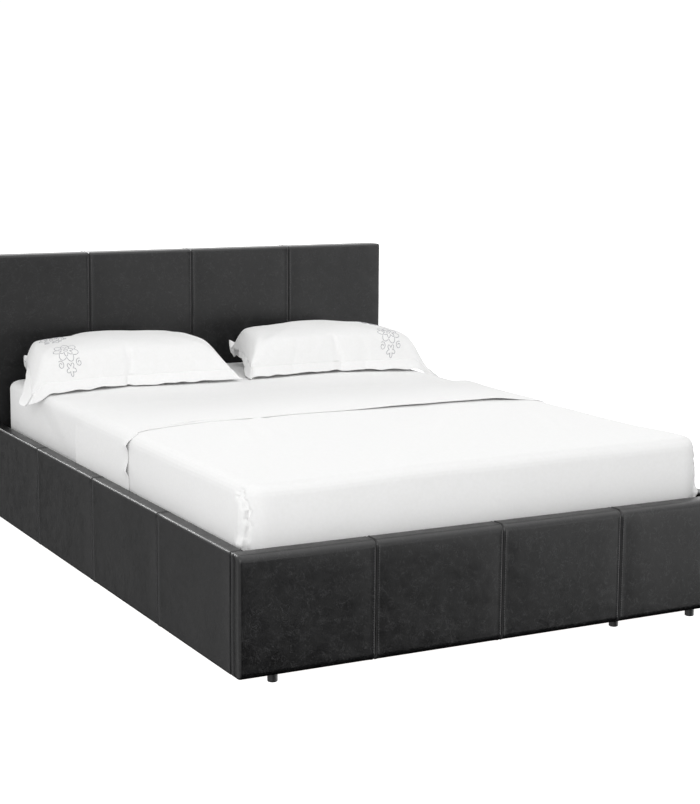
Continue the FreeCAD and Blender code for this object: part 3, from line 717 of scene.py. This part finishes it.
# Cotton percale: plain weave, about 0.3 mm a thread, matt and white, with a faint down on its surface.
# The weave is drawn at 1.4 mm so that it shows close to. Slack gives the cloth soft dents 40 to 120 mm wide.
cotton_percale, tree, surface, place = new_finish("cotton_percale")
warp = add(tree, "TexWave", {"bands_direction": "X"}, {"Vector": place, "Scale": 224.0})
weft = add(tree, "TexWave", {"bands_direction": "DIAGONAL"}, {"Vector": place, "Scale": 224.0})
threads = add(tree, "Math", {"operation": "ADD"}, {0: warp.outputs["Fac"], 1: weft.outputs["Fac"]})
slub = add(tree, "TexNoise", {}, {"Vector": place, "Scale": 120.0, "Detail": 3.0})
bleach = add(tree, "Mix", colours, {0: slub, 6: "#f3f3f2", 7: "#fafafa"})
weave = add(tree, "Bump", {}, {"Strength": 0.08, "Distance": 0.0002, "Height": threads})
dents = add(tree, "TexNoise", {}, {
    "Vector": place, "Scale": 11.0, "Detail": 4.0, "Roughness": 0.55, "Distortion": 0.7,
})
slack_bump = add(tree, "Bump", {}, {"Strength": 0.35, "Distance": 0.006, "Height": dents, "Normal": weave})
wire(tree, surface, {
    "Base Color": bleach, "Roughness": 0.88, "Specular IOR Level": 0.3, "Sheen Weight": 0.12,
    "Normal": slack_bump,
})


def smooth_step(value, low, high):
    """0 below low, 1 above high and a smooth rise between."""
    share = min(1.0, max(0.0, (value - low) / (high - low)))
    return share * share * (3.0 - 2.0 * share)


def bed_crown(spot):
    """How far the made-up bed stands above its level top edge, at a place on it."""
    across = 1.0 - (spot.x / 0.69) ** 2
    from_foot = smooth_step(spot.y, -0.97, -0.6)
    rise = 0.013 * across * (0.35 + 0.65 * from_foot) - 0.002
    rise += 0.007 * smooth_step(spot.x, -0.4, 0.7) * (1.0 - from_foot)
    rise += 0.004 * noise.noise(Vector((spot.x * 3.1, spot.y * 3.1, 4.0)))
    return rise * smooth_step(spot.z, 0.34, 0.462)


def settle(block, side_swell, ripple):
    """Moves cloth to the made-up shape: crowned on top, swollen a little at the sides, and rippled."""
    block.normal_update()
    moves = []
    for vert in block.verts:
        spot, out = vert.co, vert.normal
        sideways = math.hypot(out.x, out.y)
        level = (spot.z - bed_low.z) / (bed_high.z - bed_low.z)
        swell = side_swell * math.sin(math.pi * min(1.0, max(0.0, level))) * sideways
        wave = ripple * noise.noise(Vector((spot.x * 7.0, spot.y * 7.0, spot.z * 5.0)))
        flat_out = Vector((out.x, out.y, 0.0))
        moves.append((vert, flat_out * swell + out * wave + Vector((0.0, 0.0, bed_crown(spot)))))
    shift_all(moves)


def open_ends(block):
    """Takes away a cloth block's underside and its head end."""
    ends = [f for f in block.faces if f.normal.z < -0.9 or (f.normal.y > 0.9 and f.calc_area() > 0.05)]
    bmesh.ops.delete(block, geom=ends, context="FACES")


def cut_cloth(block, low, high):
    """Cuts a cloth block into squares, so that it can take folds."""
    for axis in range(3):
        slice_across(block, axis, even_places(low[axis] + 0.02, high[axis] - 0.02, cloth_grid))


sheet_low = bed_low + Vector((0.0008, 0.0008, 0.0006))
sheet_high = bed_high - Vector((0.0008, 0.0008, 0.0008))
sheet_shape = bed_block(sheet_low, sheet_high, corner_radius, top_radius)
floor_face = [f for f in sheet_shape.faces if f.normal.z < -0.9]
bmesh.ops.inset_region(sheet_shape, faces=floor_face, thickness=underneath, use_even_offset=True)
open_face = [f for f in sheet_shape.faces if f.normal.z < -0.9 and f.calc_area() > 0.5]
bmesh.ops.delete(sheet_shape, geom=open_face, context="FACES")
cut_cloth(sheet_shape, sheet_low, sheet_high)
settle(sheet_shape, 0.0, 0.0004)
bmesh.ops.recalc_face_normals(sheet_shape, faces=sheet_shape.faces)
fitted_sheet = new_object("fitted_sheet", sheet_shape, cotton_percale)
thicken(fitted_sheet, sheet_thickness)
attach(fitted_sheet, "lift_base")


# Bed cover
# A white cotton cover laid over the fitted sheet, tucked in down both sides and folded square at the foot.
# Each corner's flap comes round from the side over the foot panel, with a bunched tip where it is tucked.

cover_low, cover_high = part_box("bed_cover")
flap_edge = 0.674
flap_lift = 0.0042
pleat_depth = 0.014
pleat_width = 0.0042
cover_thickness = 0.0024
cover_room = 0.0045
crease_width = 0.014
pull_creases = [
    # where each starts, where it ends, its height
    ((-0.235, -0.03), (-0.31, -0.27), 0.0022),
    ((-0.355, -0.25), (-0.455, -0.54), 0.0026),
    ((-0.30, -0.20), (-0.36, -0.50), 0.0016),
    ((0.25, -0.35), (0.05, -0.62), 0.0018),
    ((0.52, -0.40), (0.38, -0.75), 0.0016),
]


def crease_height(spot):
    """Soft ridges where the cover was pulled down towards the foot corners."""
    height = 0.0
    for (x0, y0), (x1, y1), rise in pull_creases:
        run = Vector((x1 - x0, y1 - y0))
        from_start = Vector((spot.x - x0, spot.y - y0))
        share = from_start.dot(run) / run.length_squared
        off_line = abs(from_start.x * run.y - from_start.y * run.x) / run.length
        fade = smooth_step(share, -0.15, 0.35) * (1.0 - smooth_step(share, 0.65, 1.15))
        ridge = math.exp(-((off_line / crease_width) ** 2))
        hollow = 0.5 * math.exp(-((off_line - 0.026) / crease_width) ** 2)
        height += rise * fade * (ridge - hollow)
    return height


cover_shape = bed_block(
    cover_low, cover_high, corner_radius + cover_room, top_radius + cover_room, open_head=True
)
open_ends(cover_shape)
cut_cloth(cover_shape, cover_low, cover_high)
beside_flap = [flap_edge - 0.006 + 0.0022 * i for i in range(-8, 9)]
slice_across(cover_shape, 0, [side * x for side in (-1, 1) for x in beside_flap])
slice_across(cover_shape, 2, [0.27 + 0.0055 * i for i in range(36)])
settle(cover_shape, 0.004, 0.0018)
cover_shape.normal_update()
folds = []
for vert in cover_shape.verts:
    spot, out = vert.co, vert.normal
    lift = crease_height(spot) * smooth_step(out.z, 0.5, 0.9)
    if spot.y < cover_low.y + 0.09 and out.y < -0.05:
        jag = 0.007 * noise.noise(Vector((spot.z * 38.0, spot.x * 2.0, 1.0)))
        jag += 0.006 * noise.noise(Vector((spot.z * 95.0, 0.0, 6.0)))
        lean = 0.012 * (bed_high.z - spot.z) / 0.2
        past = abs(spot.x) - (flap_edge - lean + jag)
        on_front = smooth_step(-out.y, 0.1, 0.5)
        height_share = smooth_step(spot.z, 0.262, 0.30) * (1.0 - smooth_step(spot.z, 0.446, 0.468))
        lift += flap_lift * smooth_step(past, -0.0012, 0.0016) * on_front * height_share
        deep = pleat_depth * (0.3 + 0.7 * smooth_step(spot.z, 0.35, 0.41))
        lift -= deep * math.exp(-(((past + 0.0042) / pleat_width) ** 2)) * on_front * height_share
        tip = (Vector((past - 0.004, (spot.z - 0.326) * 0.8))).length
        lift += 0.010 * math.exp(-((tip / 0.011) ** 2)) * on_front
    folds.append((vert, out * lift))
shift_all(folds)
bmesh.ops.recalc_face_normals(cover_shape, faces=cover_shape.faces)
bed_cover = new_object("tucked_bed_cover", cover_shape, cotton_percale)
thicken(bed_cover, cover_thickness)
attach(bed_cover, "lift_base")
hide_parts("bed_cover")


# Turned-back top sheet
# The top sheet's head end, folded back 415 mm over the cover and hanging down both sides, free at its hem.
# Its hem wanders and stands off the cover here and there, and the fold rolls down to the fitted sheet.

fold_low, fold_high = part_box("cover_turnback")
hem_line = fold_low.y
fold_thickness = 0.0018
fold_room = 0.009
roll_radius = 0.0058
roll_steps = 8


def hem_place(spot):
    """Where the hem runs, along the bed, at a place across or down it."""
    if spot.z > 0.45 and abs(spot.x) < 0.66:
        wander = 0.030 * math.exp(-(((spot.x + 0.47) / 0.13) ** 2))
        wander -= 0.024 * math.exp(-(((abs(spot.x) - 0.66) / 0.03) ** 2))
        return hem_line + 0.022 + wander + 0.004 * noise.noise(Vector((spot.x * 9.0, 2.0, 0.0)))
    drop = smooth_step(0.47 - spot.z, 0.0, 0.05)
    return hem_line - 0.014 + 0.004 * drop + 0.006 * noise.noise(Vector((spot.z * 20.0, spot.x, 5.0)))


def hem_gap(spot, out):
    """How far the hem stands off the cover."""
    if out.z > 0.6:
        open_part = smooth_step(spot.x, -0.05, 0.35) * (1.0 - smooth_step(spot.x, 0.5, 0.64))
        return -0.0020 + 0.0092 * open_part * (0.75 + 0.25 * math.sin(spot.x * 13.0))
    return 0.0085 * max(0.0, math.sin(spot.z * 88.0 + 2.5 * noise.noise(spot * 14.0))) ** 2 - 0.0014


fold_shape = bed_block(fold_low, fold_high, corner_radius + fold_room, top_radius + fold_room, open_head=True)
# The block's foot end is cut off square, so the cloth is open towards the foot as well.
bmesh.ops.bisect_plane(
    fold_shape, geom=fold_shape.verts[:] + fold_shape.edges[:] + fold_shape.faces[:], dist=1e-6,
    plane_co=(0.0, fold_low.y + corner_radius + 0.011, 0.0), plane_no=(0.0, -1.0, 0.0), clear_outer=True,
)
for vert in fold_shape.verts:
    if vert.co.y < fold_low.y + corner_radius + 0.0111:
        vert.co.y = fold_low.y
open_ends(fold_shape)
cut_cloth(fold_shape, fold_low, fold_high)
slice_across(fold_shape, 1, [fold_low.y + d for d in (0.003, 0.007, 0.012)])
settle(fold_shape, 0.004, 0.0014)
fold_shape.normal_update()
laid = []
for vert in fold_shape.verts:
    spot, out = vert.co, vert.normal
    near_hem = 1.0 - smooth_step(spot.y - hem_line, 0.0, 0.07)
    shift = (hem_place(spot) - hem_line) * near_hem
    lift = hem_gap(spot, out) * (1.0 - smooth_step(spot.y - hem_line, 0.0, 0.045))
    full = 0.0035 * smooth_step(spot.y, fold_high.y - 0.10, fold_high.y - 0.02) * max(0.0, out.z)
    laid.append((vert, out * (lift + full) + Vector((0.0, shift, 0.0))))
shift_all(laid)
fold_shape.normal_update()


def section_place(vert):
    """A vertex's place across the bed, as a key that its extruded copy shares."""
    return round(vert.co.x, 4), round(vert.co.z, 4)


# The head edge is extruded round a half circle, towards the cloth that it is folded back over.
open_edges = [e for e in fold_shape.edges if e.is_boundary]
head_edges = [e for e in open_edges if all(v.co.y > fold_high.y - 0.004 for v in e.verts)]
outward = {section_place(v): v.normal.copy() for e in head_edges for v in e.verts}
for turn in range(1, roll_steps):
    angle, before = math.pi * turn / roll_steps, math.pi * (turn - 1) / roll_steps
    grown = bmesh.ops.extrude_edge_only(fold_shape, edges=head_edges)["geom"]
    head_edges = [g for g in grown if isinstance(g, bmesh.types.BMEdge)]
    turned_verts = [g for g in grown if isinstance(g, bmesh.types.BMVert)]
    kept = {}
    for vert in turned_verts:
        out = outward[section_place(vert)]
        vert.co.y += roll_radius * (math.sin(angle) - math.sin(before))
        vert.co -= out * roll_radius * (math.cos(before) - math.cos(angle))
        kept[section_place(vert)] = out
    outward = kept
bmesh.ops.recalc_face_normals(fold_shape, faces=fold_shape.faces)
turned_sheet = new_object("turned_back_top_sheet", fold_shape, cotton_percale)
thicken(turned_sheet, fold_thickness)
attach(turned_sheet, "lift_base")
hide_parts("cover_turnback")


# Pillows
# Two soft fibre-filled pillows in Oxford cases: a plump body inside a seam, and a flange 48 mm wide round it.
# Each body is blown up from its flat cut as cloth, then set down flat underneath with its ends curling up.

pillow_cut = Vector((0.72, 0.45))
pillow_cell = 0.011
seam_height = 0.036
end_rise = 0.036
pillow_crown = 0.155
pillow_fullness = 0.56
pucker_rise = 0.0065
flange_width = 0.048
flange_steps = 6
flange_thickness = 0.0022
filling_pressure = 16.0
filling_frames = 28
pillows = [
    # side, centre x, centre y, body size, turn, flange share at its left and right ends, seed
    ("left", -0.366, 0.735, Vector((0.670, 0.385)), -2.0, (0.85, 0.6), 1.0),
    ("right", 0.362, 0.720, Vector((0.670, 0.385)), 1.0, (0.3, 0.85), 5.0),
]


def bed_surface(x, y):
    """Height of the made-up bed under a pillow, falling away past the mattress's side."""
    past = max(0.0, abs(x) - (bed_high.x - top_radius))
    fall = past * past / (2.0 * top_radius) if past < top_radius else past - top_radius / 2.0
    return bed_high.z + bed_crown(Vector((x, y, bed_high.z))) + 0.0008 - min(fall, 0.03)


def pillow_bag(name, seed):
    """Top and bottom panels joined at the seam and slightly filled, flat on the seam's plane."""
    bag = bmesh.new()
    cells = [round(side / pillow_cell) for side in pillow_cut]
    bmesh.ops.create_grid(bag, x_segments=cells[0], y_segments=cells[1], size=0.5)
    under = bmesh.ops.duplicate(bag, geom=bag.faces[:])["geom"]
    bmesh.ops.reverse_faces(bag, faces=[g for g in under if isinstance(g, bmesh.types.BMFace)])
    under_verts = {g for g in under if isinstance(g, bmesh.types.BMVert)}
    for vert in bag.verts:
        u, w = min(1.0, abs(vert.co.x) * 2.0), min(1.0, abs(vert.co.y) * 2.0)
        lump = 0.003 * noise.noise(Vector((vert.co.x * 12.0, vert.co.y * 9.0, seed)))
        rise = (0.045 + lump) * ((1.0 - u**3) * (1.0 - w**3)) ** 0.6
        rise = -rise if vert in under_verts else rise
        vert.co = Vector((vert.co.x * pillow_cut.x, vert.co.y * pillow_cut.y, rise))
    bmesh.ops.remove_doubles(bag, verts=bag.verts, dist=1e-5)
    return new_object(name, bag, cotton_percale)


def fill_with_cloth(bags):
    """Blows the bags up together as cloth, and keeps the shapes that they settle into."""
    for bag in bags:
        cloth = bag.modifiers.new("filling", "CLOTH").settings
        cloth.quality = 6
        cloth.mass = 0.3
        cloth.tension_stiffness = 18.0
        cloth.compression_stiffness = 12.0
        cloth.shear_stiffness = 6.0
        cloth.bending_stiffness = 0.6
        cloth.air_damping = 3.0
        cloth.use_pressure = True
        cloth.uniform_pressure_force = filling_pressure
        cloth.effector_weights.gravity = 0.0
    for step in range(1, filling_frames + 1):
        scene.frame_set(step)
    ready = bpy.context.evaluated_depsgraph_get()
    shapes = [bpy.data.meshes.new_from_object(bag.evaluated_get(ready)) for bag in bags]
    for bag, shape in zip(bags, shapes):
        bag.modifiers.clear()
        bag.data = shape
    scene.frame_set(1)


def curl(flat, size):
    """How much of the end rise a place on a pillow has: all of it at the ends, none at the front corners."""
    return smooth_step(abs(flat.x), 0.14, size.x / 2) * smooth_step(flat.y, -size.y / 2, 0.02)


def corner_puckers(flat, size, seed):
    """Folds that run in from the four corners of the case."""
    height = 0.0
    for x in (-1, 1):
        for y in (-1, 1):
            away = flat - Vector((x * size.x / 2, y * size.y / 2))
            bearing = math.atan2(away.y, away.x)
            fade = math.exp(-away.length / 0.11) * smooth_step(away.length, 0.01, 0.07)
            start = seed + 2.0 * noise.noise(Vector((x, y, seed)))
            height += pucker_rise * fade * math.sin(bearing * 15.0 + start)
    return height


def seam_loop(rim):
    """The seam's points in order."""
    start = min(rim, key=lambda v: v.index)
    loop = [start]
    seen = {start}
    while True:
        following = [e.other_vert(loop[-1]) for e in loop[-1].link_edges]
        following = [v for v in following if v in rim and v not in seen]
        if not following:
            return loop
        loop.append(following[0])
        seen.add(following[0])


def sew_flange(shape, loop, centre, spin, size, end_shares, seed):
    """A closed double layer of cloth round the seam, lying on the bed in front and curling up at the ends."""
    layers = []
    for vert in loop:
        flat = spin.transposed() @ (Vector((vert.co.x, vert.co.y)) - centre)
        out = Vector((
            math.copysign(smooth_step(abs(flat.x), size.x / 2 - 0.06, size.x / 2 - 0.004), flat.x),
            math.copysign(smooth_step(abs(flat.y), size.y / 2 - 0.06, size.y / 2 - 0.004), flat.y),
        ))
        out = out / max(0.9, out.length * 0.78)
        behind = smooth_step(flat.y, size.y / 2 - 0.07, size.y / 2 - 0.01)
        held_up = max(curl(flat, size), behind)
        out.x *= end_shares[0] if flat.x < 0 else end_shares[1]
        out.y *= (1.0 - 0.72 * behind) * (0.8 if flat.y < 0 else 1.0)
        out = spin @ out
        column = []
        for step in range(flange_steps + 1):
            reach = step / flange_steps
            x = vert.co.x + out.x * (flange_width * reach - 0.003)
            y = vert.co.y + out.y * (flange_width * reach - 0.003)
            ruffle = noise.noise(Vector((x * 22.0, y * 22.0, seed)))
            rest = bed_surface(x, y) + 0.0035 + 0.007 * reach * (0.5 + ruffle)
            down = (rest - vert.co.z) * (0.3 * reach + 0.7 * smooth_step(reach, 0.0, 0.9))
            level = reach * (0.012 * ruffle - 0.010 + 0.030 * behind)
            z = vert.co.z + down * (1.0 - held_up) + level * held_up
            column.append([shape.verts.new((x, y, z + side * flange_thickness / 2)) for side in (1, -1)])
        layers.append(column)
    for i, column in enumerate(layers):
        after = layers[(i + 1) % len(layers)]
        for step in range(flange_steps):
            for side in (0, 1):
                quad = [column[step][side], column[step + 1][side], after[step + 1][side], after[step][side]]
                shape.faces.new(quad if side else quad[::-1])
        for step, turned in ((0, False), (flange_steps, True)):
            quad = [column[step][0], column[step][1], after[step][1], after[step][0]]
            shape.faces.new(quad[::-1] if turned else quad)


bags = [pillow_bag(row[0] + "_pillow_in_case", row[-1]) for row in pillows]
half = pillow_cut / 2 - Vector((1e-4, 1e-4))
rims = [
    {v.index for v in bag.data.vertices if abs(v.co.x) > half.x or abs(v.co.y) > half.y} for bag in bags
]
fill_with_cloth(bags)

for bag, rim, (side, centre_x, centre_y, body_size, turn, end_shares, seed) in zip(bags, rims, pillows):
    body = bmesh.new()
    body.from_mesh(bag.data)
    low = Vector([min(v.co[i] for v in body.verts) for i in range(3)])
    high = Vector([max(v.co[i] for v in body.verts) for i in range(3)])
    middle = (low + high) / 2
    centre = Vector((centre_x, centre_y))
    spin = Matrix.Rotation(math.radians(turn), 2)
    for vert in body.verts:
        flat = Vector((
            (vert.co.x - middle.x) * body_size.x / (high.x - low.x),
            (vert.co.y - middle.y) * body_size.y / (high.y - low.y),
        ))
        lifted = end_rise * curl(flat, body_size)
        if vert.index in rim:
            height = 0.0
        elif vert.co.z > middle.z:
            u, w = (min(1.0, abs(2.0 * flat[i] / body_size[i])) for i in (0, 1))
            plump = (1.0 - u**5) * (1.0 - w**2.6)
            blown = (vert.co.z - middle.z) / (high.z - middle.z)
            share = 0.4 * blown**pillow_fullness + 0.6 * plump**0.38 * smooth_step(blown, 0.02, 0.4)
            height = share * (pillow_crown - seam_height - lifted)
            height += corner_puckers(flat, body_size, seed) * min(1.0, share * 1.6)
            height += share * 0.004 * noise.noise(Vector((flat.x * 8.0, flat.y * 11.0, seed)))
        else:
            height = (vert.co.z - middle.z) / (middle.z - low.z) * seam_height * 0.95
        spot = centre + spin @ flat
        vert.co = Vector((spot.x, spot.y, bed_surface(spot.x, spot.y) + seam_height + lifted + height))
    seam = seam_loop({v for v in body.verts if v.index in rim})
    sew_flange(body, seam, centre, spin, body_size, end_shares, seed)
    bmesh.ops.recalc_face_normals(body, faces=body.faces)
    body.to_mesh(bag.data)
    body.free()
    bag.data.shade_smooth()
    finer = bag.modifiers.new("finer_cloth", "SUBSURF")
    finer.levels = 1
    finer.render_levels = 1
    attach(bag, "lift_base")
    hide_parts(side + "_pillow")


# Pillow embroidery
# Outline embroidery in pale grey rayon at the outer end of each case, sewn by machine through the top panel.
# The motif, twice on each, is a looped rosette over a small flower between two scrolls.

thread_radius = 0.0012
thread_sides = 5
thread_proud = 0.3
feeler_spacing = 0.02
needle_start = 0.06
motif_from_end = 0.128
motif_rows = (-0.130, 0.030)

# Rayon embroidery thread: smooth bright filament laid side by side, pale grey, with a faint silky streak.
rayon_thread, tree, surface, place = new_finish("rayon_embroidery_thread")
lay = add(tree, "TexNoise", {}, {"Vector": place, "Scale": 600.0, "Detail": 2.0})
filament = add(tree, "Mix", colours, {0: lay, 6: "#8e8e93", 7: "#b6b6ba"})
wire(tree, surface, {"Base Color": filament, "Roughness": 0.4})


def ring_of_loops(centre, inner, outer, loops, turn=0.0):
    """A closed line that swings out and back in a number of loops; an even circle when both radii are one."""
    line = []
    for i in range(loops * 9):
        bearing = 2.0 * math.pi * i / (loops * 9)
        radius = inner + (outer - inner) * abs(math.sin(bearing * loops / 2.0))
        line.append(centre + radius * Vector((math.cos(bearing + turn), math.sin(bearing + turn))))
    return line


def scroll(centre, radius, turns, hand):
    """An open spiral."""
    count = int(turns * 12)
    line = []
    for i in range(count + 1):
        bearing = i * math.pi / 6
        reach = radius * (0.25 + 0.75 * i / count)
        line.append(centre + reach * Vector((hand * math.cos(bearing), math.sin(bearing))))
    return line


def lay_thread(rows, line, facings, closed):
    """A round thread along a line on the cloth."""
    bearings = [2 * math.pi * k / thread_sides for k in range(thread_sides)]
    rings = []
    for i, spot in enumerate(line):
        before = line[i - 1] if closed or i else line[0]
        after = line[(i + 1) % len(line)] if closed or i + 1 < len(line) else line[-1]
        run = (after - before).normalized()
        beside = run.cross(facings[i]).normalized()
        rings.append([
            rows.verts.new(spot + thread_radius * (beside * math.cos(b) + facings[i] * math.sin(b)))
            for b in bearings
        ])
    for i in range(len(rings) if closed else len(rings) - 1):
        near, far = rings[i], rings[(i + 1) % len(rings)]
        for k in range(thread_sides):
            rows.faces.new((near[k], near[(k + 1) % thread_sides], far[(k + 1) % thread_sides], far[k]))
    if not closed:
        rows.faces.new(rings[0])
        rows.faces.new(rings[-1][::-1])


motif = [
    (ring_of_loops(Vector((0.0, 0.0)), 0.006, 0.006, 2), True),
    (ring_of_loops(Vector((0.0, 0.0)), 0.012, 0.024, 7), True),
    (ring_of_loops(Vector((0.0, 0.0)), 0.027, 0.040, 7, math.pi / 7), True),
    (ring_of_loops(Vector((0.0, -0.057)), 0.006, 0.016, 5, math.pi / 10), True),
    (scroll(Vector((-0.030, -0.044)), 0.011, 1.4, 1), False),
    (scroll(Vector((0.030, -0.044)), 0.011, 1.4, -1), False),
]
for bag, (side, centre_x, centre_y, body_size, turn, _, _) in zip(bags, pillows):
    cloth_tree = surface_tree(bag.evaluated_get(bpy.context.evaluated_depsgraph_get()).data)
    outer_end = -1 if side == "left" else 1
    centre = Vector((centre_x, centre_y))
    spin = Matrix.Rotation(math.radians(turn), 2)
    row_x = outer_end * (body_size.x / 2 - motif_from_end)
    rows = bmesh.new()
    for row_y in motif_rows:
        spot = centre + spin @ Vector((row_x, row_y))
        around = [
            cloth_tree.ray_cast(Vector((spot.x + dx, spot.y + dy, 1.0)), Vector((0.0, 0.0, -1.0)), 1.0)
            for dx in (-feeler_spacing, 0.0, feeler_spacing) for dy in (-feeler_spacing, 0.0, feeler_spacing)
        ]
        facing = sum((hit[1] for hit in around), Vector()).normalized()
        anchor = around[4][0]
        up = Vector((0.0, 1.0, 0.0))
        up = (up - facing * up.dot(facing)).normalized()
        right = up.cross(facing)
        for line, closed in motif:
            origins = [anchor + right * p.x + up * p.y + facing * needle_start for p in line]
            hits = [cloth_tree.ray_cast(origin, -facing, 0.3)[:2] for origin in origins]
            if all(out is not None for _, out in hits):
                sunk = [met + out * thread_radius * thread_proud for met, out in hits]
                lay_thread(rows, sunk, [out for _, out in hits], closed)
    bmesh.ops.recalc_face_normals(rows, faces=rows.faces)
    embroidery = new_object(side + "_pillow_embroidery", rows, rayon_thread)
    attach(embroidery, "lift_base")
